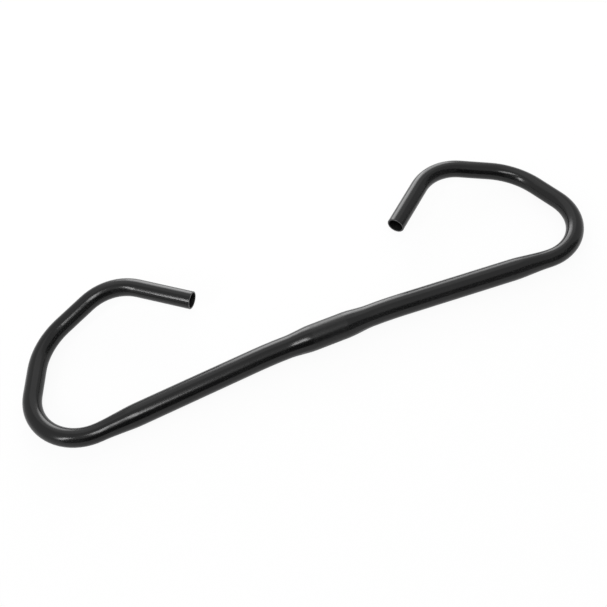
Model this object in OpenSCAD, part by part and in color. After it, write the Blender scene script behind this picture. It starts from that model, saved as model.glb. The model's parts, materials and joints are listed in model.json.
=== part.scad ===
// Looped comfort handlebar: one bent tube in three diameters, open at both ends.
// Origin in the middle of the stem clamp zone. +X along the clamp zone to the bar's right end,
// +Y to the side the loops go, +Z up. The front run and both hooks lie flat in the XY plane.

/* [Tube] */
// outside diameter where the stem clamps
clamp_d = 31.8; // [28.6:0.1:35]
// outside diameter of the front run
run_d = 27.2; // [24:0.1:28.5]
// outside diameter from the hooks to the ends, where grips and levers go
grip_d = 22.2; // [20:0.1:23.8]
// wall thickness, the same all along the tube
wall = 2; // [1.2:0.1:3]
// chamfer on both edges of each open end
end_chamfer = 0.4; // [0.2:0.1:0.5]

/* [Clamp zone] */
// length of the full clamp diameter
clamp_len = 42; // [30:1:70]
// length of the taper from the clamp diameter to the front run
clamp_taper = 33; // [20:1:60]

/* [Front run] */
// how far each half bows away from the loops, in degrees
bow_angle = 4.2; // [2:0.1:10]
// radius of that bow at the tube's centre line
bow_r = 540; // [200:10:700]
// straight tube from the bow to the hook
run_len = 195; // [130:1:240]
// length of the taper at the end of the run, down to the grip diameter
grip_taper = 50; // [30:1:90]

/* [Hook] */
// angle that the hook turns through
hook_angle = 115; // [95:0.5:125]
// hook radius at the tube's centre line
hook_r = 58.5; // [45:0.5:75]
// straight tube after the hook
side_len = 35; // [15:1:60]

/* [Rear bend] */
// roll of this bend, which lifts the rear of the loop, in degrees
rear_roll = 13; // [0:0.5:20]
// angle that the bend turns through
rear_angle = 47.5; // [35:0.5:60]
// bend radius at the tube's centre line
rear_r = 78; // [50:0.5:100]
// straight tube after the bend
rear_len = 40; // [20:1:70]

/* [End bend] */
// roll of this bend back towards level, in degrees
end_roll = 15; // [0:0.5:20]
// angle that the bend turns through
end_angle = 62.5; // [50:0.5:75]
// bend radius at the tube's centre line
end_r = 63; // [45:0.5:80]
// straight grip at the open end
end_len = 71; // [40:1:110]

/* [Hidden] */
$fn = 96;
// share of a taper's length over which its slope builds up, and again dies away
soft_share = 0.3;
// cones in each of those two stretches, with one cone between them
soft_steps = 12;
// how far the bore runs past the open ends while it is cut
past = 1;
// length trimmed off each arc
spare = 4;

// points of the first, soft stretch of a taper: [share of its length, share of its change of radius]
soft_start = [for (i = [0:soft_steps])
    let (u = soft_share * i / soft_steps) [u, u * u / (2 * soft_share * (1 - soft_share))]];
// the soft stretch at its other end is the same, turned round
taper_points = concat(soft_start, [for (i = [soft_steps:-1:0]) [1, 1] - soft_start[i]]);

// a number with six figures
function six(x) = abs(x) < 0.1 ? round(x * 1e7) / 1e7 : round(x * 1e6) / 1e6;

// The cosine and sine of an angle that is nudged, by under 0.02 degrees, to where six figures give
// both of them exactly. A frame turned by them keeps its size, so pieces meet with no sliver.
function clean_pair(angle) =
    let (n = floor(300 * abs(sin(angle))),
         tries = [for (i = [-n:n])
             let (c = six(cos(angle)) + i * 1e-6,
                  s = sign(sin(angle)) * six(sqrt(max(0, 1 - c * c))))
             [abs(c * c + s * s - 1), c, s]],
         best = min([for (t = tries) t[0]]))
    [for (t = tries) if (t[0] == best) [t[1], t[2]]][0];

// Each piece below starts at its frame's origin and runs along +Y.
// What follows it is drawn in the frame of its far end.

module straight(len, r) {
    rotate([-90, 0, 0]) cylinder(h = len, r = r);
    translate([0, len, 0]) children();
}

module taper(len, r_from, r_to) {
    rotate([-90, 0, 0]) rotate_extrude() polygon(concat(
        [[0, 0]],
        [for (p = taper_points) [r_from + (r_to - r_from) * p[1], len * p[0]]],
        [[0, len]]));
    translate([0, len, 0]) children();
}

// Turns towards -X of its frame, after the frame is rolled about the tube. The arc is swept a little
// long and trimmed square in the frame of what follows, so the two meet exactly.
module bend(angle, bend_r, r, roll = 0) {
    spare_angle = spare / bend_r * 180 / PI;
    roll_by(roll) translate([-bend_r, 0, 0]) {
        difference() {
            rotate_extrude(angle = angle + spare_angle) translate([bend_r, 0]) circle(r = r);
            turn_by(angle) translate([bend_r - r - 2, 0, -r - 2])
                cube([2 * r + 4, 3 * spare, 2 * r + 4]);
        }
        turn_by(angle) translate([bend_r, 0, 0]) children();
    }
}

// turns the frame about Z
module turn_by(angle) {
    t = clean_pair(angle);
    multmatrix([[t[0], -t[1], 0, 0], [t[1], t[0], 0, 0], [0, 0, 1, 0], [0, 0, 0, 1]]) children();
}

// rolls the frame about Y, the direction of the tube
module roll_by(angle) {
    t = clean_pair(angle);
    multmatrix([[t[0], 0, t[1], 0], [0, 1, 0, 0], [-t[1], 0, t[0], 0], [0, 0, 0, 1]]) children();
}

// the outside of an open end, with its chamfer
module end_outside(len, r) {
    rotate([-90, 0, 0]) {
        cylinder(h = len - end_chamfer, r = r);
        translate([0, 0, len - end_chamfer])
            cylinder(h = end_chamfer, r1 = r, r2 = r - end_chamfer);
    }
}

// the bore of an open end, with its chamfer
module end_bore(len, r) {
    rotate([-90, 0, 0]) {
        cylinder(h = len - end_chamfer, r = r);
        translate([0, 0, len - end_chamfer])
            cylinder(h = end_chamfer, r1 = r, r2 = r + end_chamfer);
        translate([0, 0, len]) cylinder(h = past, r = r + end_chamfer);
    }
}

// everything to the right of the clamp zone, smaller all round by inset
module half(inset) {
    rc = clamp_d / 2 - inset;
    rr = run_d / 2 - inset;
    rg = grip_d / 2 - inset;
    translate([clamp_len / 2, 0, 0]) rotate([0, 0, -90])
    taper(clamp_taper, rc, rr)
    bend(bow_angle, bow_r, rr, 180)
    straight(run_len - grip_taper, rr)
    taper(grip_taper, rr, rg)
    bend(hook_angle, hook_r, rg, 180)
    straight(side_len, rg)
    bend(rear_angle, rear_r, rg, rear_roll)
    straight(rear_len, rg)
    bend(end_angle, end_r, rg, -end_roll)
    if (inset == 0) end_outside(end_len, rg);
    else end_bore(end_len, rg);
}

module whole(inset) {
    translate([-clamp_len / 2, 0, 0]) rotate([0, 90, 0])
        cylinder(h = clamp_len, r = clamp_d / 2 - inset);
    half(inset);
    mirror([1, 0, 0]) half(inset);
}

module handlebar() {
    color("#26272a") difference() {
        whole(0);
        whole(wall);
    }
}

handlebar();
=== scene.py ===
import json
from math import cos, pi, radians, sin

import bmesh
import bpy
from mathutils import Euler, Matrix, Quaternion, Vector


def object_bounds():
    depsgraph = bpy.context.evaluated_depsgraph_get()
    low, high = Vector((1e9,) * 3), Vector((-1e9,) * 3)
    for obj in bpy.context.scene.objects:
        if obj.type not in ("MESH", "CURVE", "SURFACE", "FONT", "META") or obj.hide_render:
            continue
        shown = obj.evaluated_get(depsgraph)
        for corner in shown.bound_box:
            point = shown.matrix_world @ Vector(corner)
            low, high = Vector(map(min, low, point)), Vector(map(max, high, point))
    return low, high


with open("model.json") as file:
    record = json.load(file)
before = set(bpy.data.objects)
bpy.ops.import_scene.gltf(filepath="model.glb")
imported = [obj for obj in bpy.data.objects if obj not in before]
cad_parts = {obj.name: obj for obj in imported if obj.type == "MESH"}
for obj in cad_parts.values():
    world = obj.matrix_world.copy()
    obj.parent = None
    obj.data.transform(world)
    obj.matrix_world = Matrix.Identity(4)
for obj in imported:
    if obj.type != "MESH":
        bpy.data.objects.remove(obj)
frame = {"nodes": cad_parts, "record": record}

cad_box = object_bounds()

# The photograph's side and the centre of its view, in pixels, and the camera that saw it
IMAGE_SIDE = 607
IMAGE_CENTRE = (315.0, 288.0)
SENSOR = 0.036
FOCAL_LENGTH = 0.0576
CAMERA_PLACE = Vector((-0.2047, -0.6164, 0.9554))
CAMERA_TURN = Euler([radians(angle) for angle in (36.67, 3.82, -22.56)])

# The floor and the room: a glow is a share of plain white, shown to the camera or in gloss
FLOOR_SIDE = 60.0
FLOOR_COLOUR = (0.88, 0.88, 0.88)
BACKGROUND_COLOUR = (1.0, 1.0, 1.0)
FLOOR_GLOW = 0.92
FLOOR_GLOW_IN_GLOSS = 0.36
ROOM_IN_GLOSS = 0.81
ROOM_LIGHT = 0.53

# Curved cards that only reflections see: radius, arc (0 is +Y and 90 is +X) and grey
FLAGS = {
    "dark_flag": (3.2, (170, 208), 0.11),
    "grey_flag": (3.6, (102, 237), 0.40),
}
# How high a card stands, as a share of its radius, and its number of flat faces
FLAG_SLOPE = 0.96
FLAG_STEPS = 24

# Area lamps: place, size of the face, brightness (1 is white paper) and turn about the lamp's own axis
LAMPS = {
    "back_softbox": ((0.55, 1.80, 0.60), (1.40, 1.15), 3.2, 18),
    "back_bulb": ((0.16, 1.00, 0.22), (0.43, 0.62), 1.9, 0),
    "back_glow": ((0.16, 0.64, 0.65), (1.20, 1.00), 0.5, 0),
    "top_softbox": ((-0.40, -1.52, 3.40), (0.56, 1.70), 12.0, 32),
    "side_softbox": ((-2.80, -1.34, 2.50), (0.32, 1.90), 20.0, 0),
}

# The coat on the tube
COAT_BLACK = (0.0028, 0.0029, 0.0031)
COAT_WORN = (0.0055, 0.0055, 0.0057)
# The lighter grey given to the cut ends of the tube
CUT_END_GREY = (0.055, 0.055, 0.056)
COAT_IOR = 1.40
COAT_ROUGHNESS = 0.18
CLAMP_ROUGHNESS = 0.31
BORE_ROUGHNESS = 0.62

# Patches that hands have rubbed: their size, the noise from which they start and are full, how worn
# their colour is and how much duller they are
HANDLED_SIZE = 0.045
HANDLED_NOISE = (0.42, 0.72)
HANDLED_WEAR = 0.5
HANDLED_DULLING = 0.02
# Fine specks all over, and scuffs in the clamp zone
SPECK_SIZE = 0.0022
SPECK_DULLING = 0.02
SCUFF_SIZE = 0.004
SCUFF_DULLING = 0.16
# How far the cut ends turn lighter grey, and how uneven the edge of that is
CUT_END_SHARE = 0.8
RAGGED_SIZE = 0.0015
RAGGED_DEPTH = 0.0004
# The relief of the coat: orange peel on a slow wave
PEEL_SIZE = 0.0012
PEEL_SHARE = 0.25
WAVE_SIZE = 0.03
RELIEF_DEPTH = 0.00002
RELIEF_STRENGTH = 0.35

# Where a finish starts and ends its fade, as distances past the end or the wall of its mount
CLAMP_FADE = (-0.001, 0.003)
BORE_WALL_FADE = (0.0004, 0.0009)
BORE_END_FADE = (0.004, 0.006)
RIM_WALL_FADE = (0.0024, 0.0039)
RIM_START_FADE = (0, 0.0003)
RIM_END_FADE = (0.003, 0.004)


class Value:
    """A shader socket that can be used in sums: each operator adds its Math node."""

    def __init__(self, maker, socket):
        self.maker = maker
        self.socket = socket

    def math(self, operation, *others):
        return self.maker.node("ShaderNodeMath", {"operation": operation}, self, *others)

    def __add__(self, other):
        return self.math("ADD", other)

    def __sub__(self, other):
        return self.math("SUBTRACT", other)

    def __rsub__(self, other):
        return self.maker.node("ShaderNodeMath", {"operation": "SUBTRACT"}, other, self)

    def __mul__(self, other):
        return self.math("MULTIPLY", other)

    def __or__(self, other):
        """The greater of the two, which joins masks."""
        return self.math("MAXIMUM", other)

    __radd__ = __add__
    __rmul__ = __mul__


class Maker:
    """Adds nodes to one material or world."""

    def __init__(self, tree):
        self.tree = tree
        tree.nodes.clear()

    def node(self, kind, settings=None, *inputs, output=None, **named):
        """A node of one type, its settings first, then the values or links of its sockets.

        Only sockets that the settings leave in use are counted. It gives the output of that name,
        or else the first, as a Value.
        """
        made = self.tree.nodes.new(kind)
        for name, setting in (settings or {}).items():
            setattr(made, name, setting)
        in_use = [socket for socket in made.inputs if socket.enabled]
        for socket, value in zip(in_use, inputs):
            self.fill(socket, value)
        for name, value in named.items():
            self.fill(made.inputs[name.replace("_", " ")], value)
        results = [socket for socket in made.outputs if socket.enabled and output in (None, socket.name)]
        return Value(self, results[0]) if results else None

    def fill(self, socket, value):
        if isinstance(value, Value):
            self.tree.links.new(value.socket, socket)
        elif socket.type == "RGBA":
            socket.default_value = (*value, 1)
        else:
            socket.default_value = value

    def mix_colour(self, share, first, second):
        return self.node("ShaderNodeMix", {"data_type": "RGBA"}, share, first, second)

    def smooth(self, value, start, end):
        """0 before start, 1 after end, with a soft step between."""
        return self.node("ShaderNodeMapRange", {"interpolation_type": "SMOOTHSTEP"}, value, start, end)

    def past(self, value, limit, fade):
        """0 before a limit and 1 past it, with a soft step over the fade's two distances past the limit."""
        return self.smooth(value, limit + fade[0], limit + fade[1])

    def noise(self, place, size, detail):
        """Noise from 0 to 1 whose spots are about one size across."""
        return self.node("ShaderNodeTexNoise", None, Vector=place, Scale=1 / size, Detail=detail)

    def vector_math(self, operation, *vectors):
        return self.node("ShaderNodeVectorMath", {"operation": operation}, *vectors)


def new_material(name):
    material = bpy.data.materials.new(name)
    material.use_nodes = True
    return material, Maker(material.node_tree)


def rays_that_see(maker):
    """Two masks: for camera rays, and for glossy and transmission rays. Other rays only carry light."""
    seen, glossy, through = [
        maker.node("ShaderNodeLightPath", output=f"Is {kind} Ray")
        for kind in ("Camera", "Glossy", "Transmission")]
    return seen, glossy | through


def mount(name):
    """The place, axis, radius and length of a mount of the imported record."""
    found = [m for m in frame["record"]["mounts"] if m["name"] == name][0]
    dims = found["dims"]
    return Vector(found["pos_m"]), Vector(found["axis"]), dims["r_mm"] / 1000, dims["length_mm"] / 1000


def distance_along(maker, place, origin, axis):
    return maker.vector_math("DOT_PRODUCT", maker.vector_math("SUBTRACT", place, origin), axis)


def distance_from_axis(maker, place, origin, axis):
    offset = maker.vector_math("SUBTRACT", place, origin)
    return maker.vector_math("LENGTH", maker.vector_math("CROSS_PRODUCT", offset, axis))


def clamp_zone(maker, place):
    """1 where the stem grips the tube, 0 elsewhere."""
    origin, axis, _, length = mount("stem_clamp")
    along = distance_along(maker, place, origin, axis).math("ABSOLUTE")
    return 1 - maker.past(along, length / 2, CLAMP_FADE)


def inside_bore(maker, place, name):
    """1 on the wall of the bore that a mount names, 0 elsewhere."""
    origin, axis, radius, length = mount(name)
    past_wall = maker.past(distance_from_axis(maker, place, origin, axis), radius, BORE_WALL_FADE)
    along = distance_along(maker, place, origin, axis).math("ABSOLUTE")
    return (1 - past_wall) * (1 - maker.past(along, length / 2, BORE_END_FADE))


def on_cut_end(maker, place, name):
    """1 on the ring where the tube was cut, past the end of the mount, with an uneven edge."""
    origin, axis, radius, length = mount(name)
    ragged = (maker.noise(place, RAGGED_SIZE, 2) - 0.5) * RAGGED_DEPTH
    along = distance_along(maker, place, origin, axis) + ragged
    past_wall = maker.past(distance_from_axis(maker, place, origin, axis), radius, RIM_WALL_FADE)
    past_rim = maker.past(along, length / 2, RIM_END_FADE)
    return maker.past(along, length / 2, RIM_START_FADE) * (1 - past_wall) * (1 - past_rim)


def black_coat():
    """Satin black coat, rubbed by hands, duller where the stem grips it and lighter grey on the cut ends.
    """
    material, maker = new_material("satin_black_coat")
    place = maker.node("ShaderNodeTexCoord", output="Object")
    gripped = clamp_zone(maker, place)
    bore = inside_bore(maker, place, "right_end_bore") | inside_bore(maker, place, "left_end_bore")
    cut = on_cut_end(maker, place, "right_grip") | on_cut_end(maker, place, "left_grip")

    handled = maker.smooth(maker.noise(place, HANDLED_SIZE, 3), *HANDLED_NOISE)
    colour = maker.mix_colour(handled * HANDLED_WEAR, COAT_BLACK, COAT_WORN)
    colour = maker.mix_colour(cut * CUT_END_SHARE, colour, CUT_END_GREY)

    specks = (maker.noise(place, SPECK_SIZE, 3) - 0.5) * SPECK_DULLING
    scuffs = (maker.noise(place, SCUFF_SIZE, 3) - 0.5) * SCUFF_DULLING
    roughness = COAT_ROUGHNESS + handled * HANDLED_DULLING + specks
    roughness = roughness + gripped * (scuffs + (CLAMP_ROUGHNESS - COAT_ROUGHNESS))
    roughness = roughness + bore * (BORE_ROUGHNESS - COAT_ROUGHNESS)

    relief = maker.noise(place, PEEL_SIZE, 2) * PEEL_SHARE + maker.noise(place, WAVE_SIZE, 1)
    normal = maker.node(
        "ShaderNodeBump", None, Strength=RELIEF_STRENGTH, Distance=RELIEF_DEPTH, Height=relief)
    shader = maker.node(
        "ShaderNodeBsdfPrincipled", None,
        Base_Color=colour, Roughness=roughness, IOR=COAT_IOR, Normal=normal)
    maker.node("ShaderNodeOutputMaterial", None, shader)
    return material


def floor_finish():
    """Pale floor: a matt surface that glows for the camera, and less in gloss, with the shadow kept."""
    material, maker = new_material("pale_floor")
    matt = maker.node("ShaderNodeBsdfDiffuse", None, FLOOR_COLOUR)
    white = maker.node("ShaderNodeEmission", None, BACKGROUND_COLOUR, 1)
    seen, mirrored = rays_that_see(maker)
    glow = seen * FLOOR_GLOW | mirrored * FLOOR_GLOW_IN_GLOSS
    maker.node("ShaderNodeOutputMaterial", None, maker.node("ShaderNodeMixShader", None, glow, matt, white))
    return material


def flag_finish(name, grey):
    material, maker = new_material(name)
    felt = maker.node("ShaderNodeBsdfDiffuse", None, (grey, grey, grey), 1)
    maker.node("ShaderNodeOutputMaterial", None, felt)
    return material


def room():
    """A room that is white to the camera, light grey in gloss, and dimmer still as a light."""
    world = bpy.data.worlds.new("pale_room")
    world.use_nodes = True
    maker = Maker(world.node_tree)
    seen, mirrored = rays_that_see(maker)
    strength = seen | mirrored * ROOM_IN_GLOSS | ROOM_LIGHT
    light = maker.node("ShaderNodeBackground", None, BACKGROUND_COLOUR, strength)
    maker.node("ShaderNodeOutputWorld", None, light)
    bpy.context.scene.world = world


def staged(name, mesh_maker, material):
    """A thing of the studio, made by mesh_maker in a bmesh."""
    mesh = bpy.data.meshes.new(name)
    form = bmesh.new()
    mesh_maker(form)
    form.to_mesh(mesh)
    form.free()
    mesh.materials.append(material)
    thing = bpy.data.objects.new(name, mesh)
    bpy.context.scene.collection.objects.link(thing)
    return thing


def floor(height):
    def sheet(form):
        bmesh.ops.create_grid(form, x_segments=1, y_segments=1, size=FLOOR_SIDE / 2)
        bmesh.ops.translate(form, verts=form.verts, vec=(0, 0, height))
    staged("floor", sheet, floor_finish())


def heading(azimuth):
    """Unit vector level with the floor: azimuth 0 is +Y, 90 is +X."""
    return Vector((sin(radians(azimuth)), cos(radians(azimuth)), 0))


def flag(name, height, radius, arc, grey):
    """A curved card on the camera's side. Only reflections see it, and it gives the tube its dark core."""
    def card(form):
        start = heading(arc[0]) * radius
        low = form.verts.new(start + Vector((0, 0, height)))
        high = form.verts.new(start + Vector((0, 0, height + radius * FLAG_SLOPE)))
        edge = form.edges.new((low, high))
        bmesh.ops.spin(
            form, geom=[low, high, edge], cent=(0, 0, 0), axis=(0, 0, 1),
            angle=radians(arc[0] - arc[1]), steps=FLAG_STEPS)
    hung = staged(name, card, flag_finish(name, grey))
    hung.visible_camera = False
    hung.visible_diffuse = False
    hung.visible_shadow = False


def softbox(name, place, size, brightness, turn):
    """An area lamp that faces the bar."""
    lamp = bpy.data.lights.new(name, "AREA")
    lamp.shape = "RECTANGLE"
    lamp.size, lamp.size_y = size
    lamp.energy = brightness * pi * size[0] * size[1]
    thing = bpy.data.objects.new(name, lamp)
    thing.location = place
    facing = Vector(place).to_track_quat("Z", "Y") @ Quaternion((0, 0, 1), radians(turn))
    thing.rotation_euler = facing.to_euler()
    bpy.context.scene.collection.objects.link(thing)


def camera():
    lens = bpy.data.cameras.new("camera")
    lens.sensor_fit = "HORIZONTAL"
    lens.sensor_width = SENSOR * 1000
    lens.lens = FOCAL_LENGTH * 1000
    lens.shift_x = (IMAGE_SIDE / 2 - IMAGE_CENTRE[0]) / IMAGE_SIDE
    lens.shift_y = (IMAGE_CENTRE[1] - IMAGE_SIDE / 2) / IMAGE_SIDE
    thing = bpy.data.objects.new("camera", lens)
    thing.matrix_world = Matrix.LocRotScale(CAMERA_PLACE, CAMERA_TURN, None)
    bpy.context.scene.collection.objects.link(thing)
    bpy.context.scene.camera = thing


bar = frame["nodes"]["handlebar"]
bar.data.materials.clear()
bar.data.materials.append(black_coat())

floor_height = cad_box[0].z
floor(floor_height)
for name, (radius, arc, grey) in FLAGS.items():
    flag(name, floor_height, radius, arc, grey)
room()
for name, (place, size, brightness, turn) in LAMPS.items():
    softbox(name, place, size, brightness, turn)
camera()
bpy.context.scene.view_settings.view_transform = "Standard"
